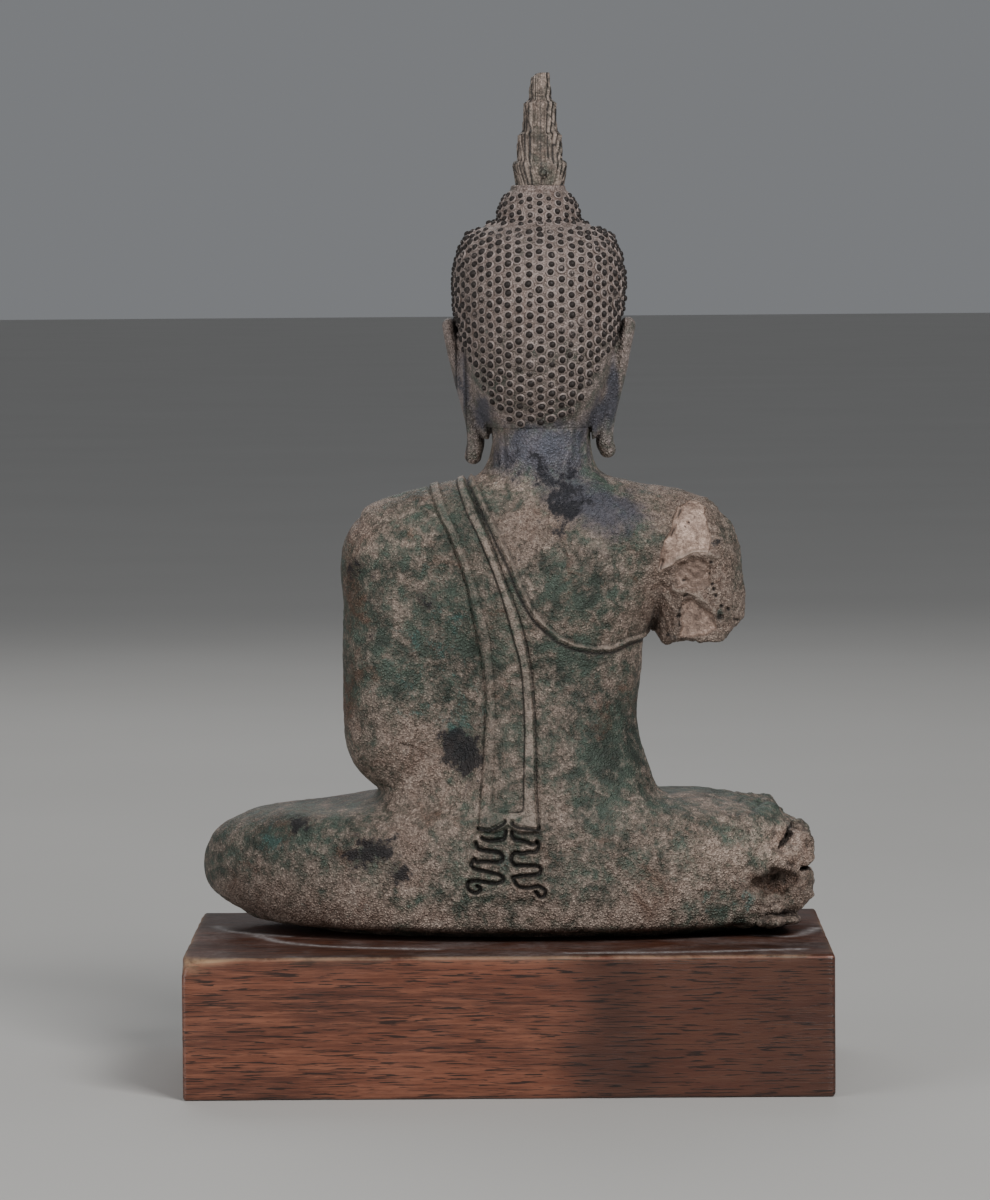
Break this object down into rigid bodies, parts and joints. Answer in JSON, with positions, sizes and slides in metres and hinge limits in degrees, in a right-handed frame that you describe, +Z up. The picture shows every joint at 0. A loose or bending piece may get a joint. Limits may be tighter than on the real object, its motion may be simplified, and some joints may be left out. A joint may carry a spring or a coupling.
{
  "type": "seated buddha statue",
  "caption": "Seated bronze Buddha with a draped left shoulder, broken right arm and knee, and a flame on its curled head, on a wooden block.",
  "frame": {"origin": "middle of the wooden block's underside", "axes": "+Z up; the statue faces -Y, and its left side is towards +X"},
  "size_m": [0.223, 0.135, 0.3511],
  "materials": {
    "bronze": "old cast bronze with a mottled green, brown and dark patina, rough",
    "finial_bronze": "old cast bronze with a paler grey-green patina, rough",
    "wood": "dark reddish brown, satin"
  },
  "bodies": {
    "root": {"bronze_figure": "bronze", "flame_finial": "finial_bronze", "wooden_plinth": "wood"}
  },
  "joints": []
}
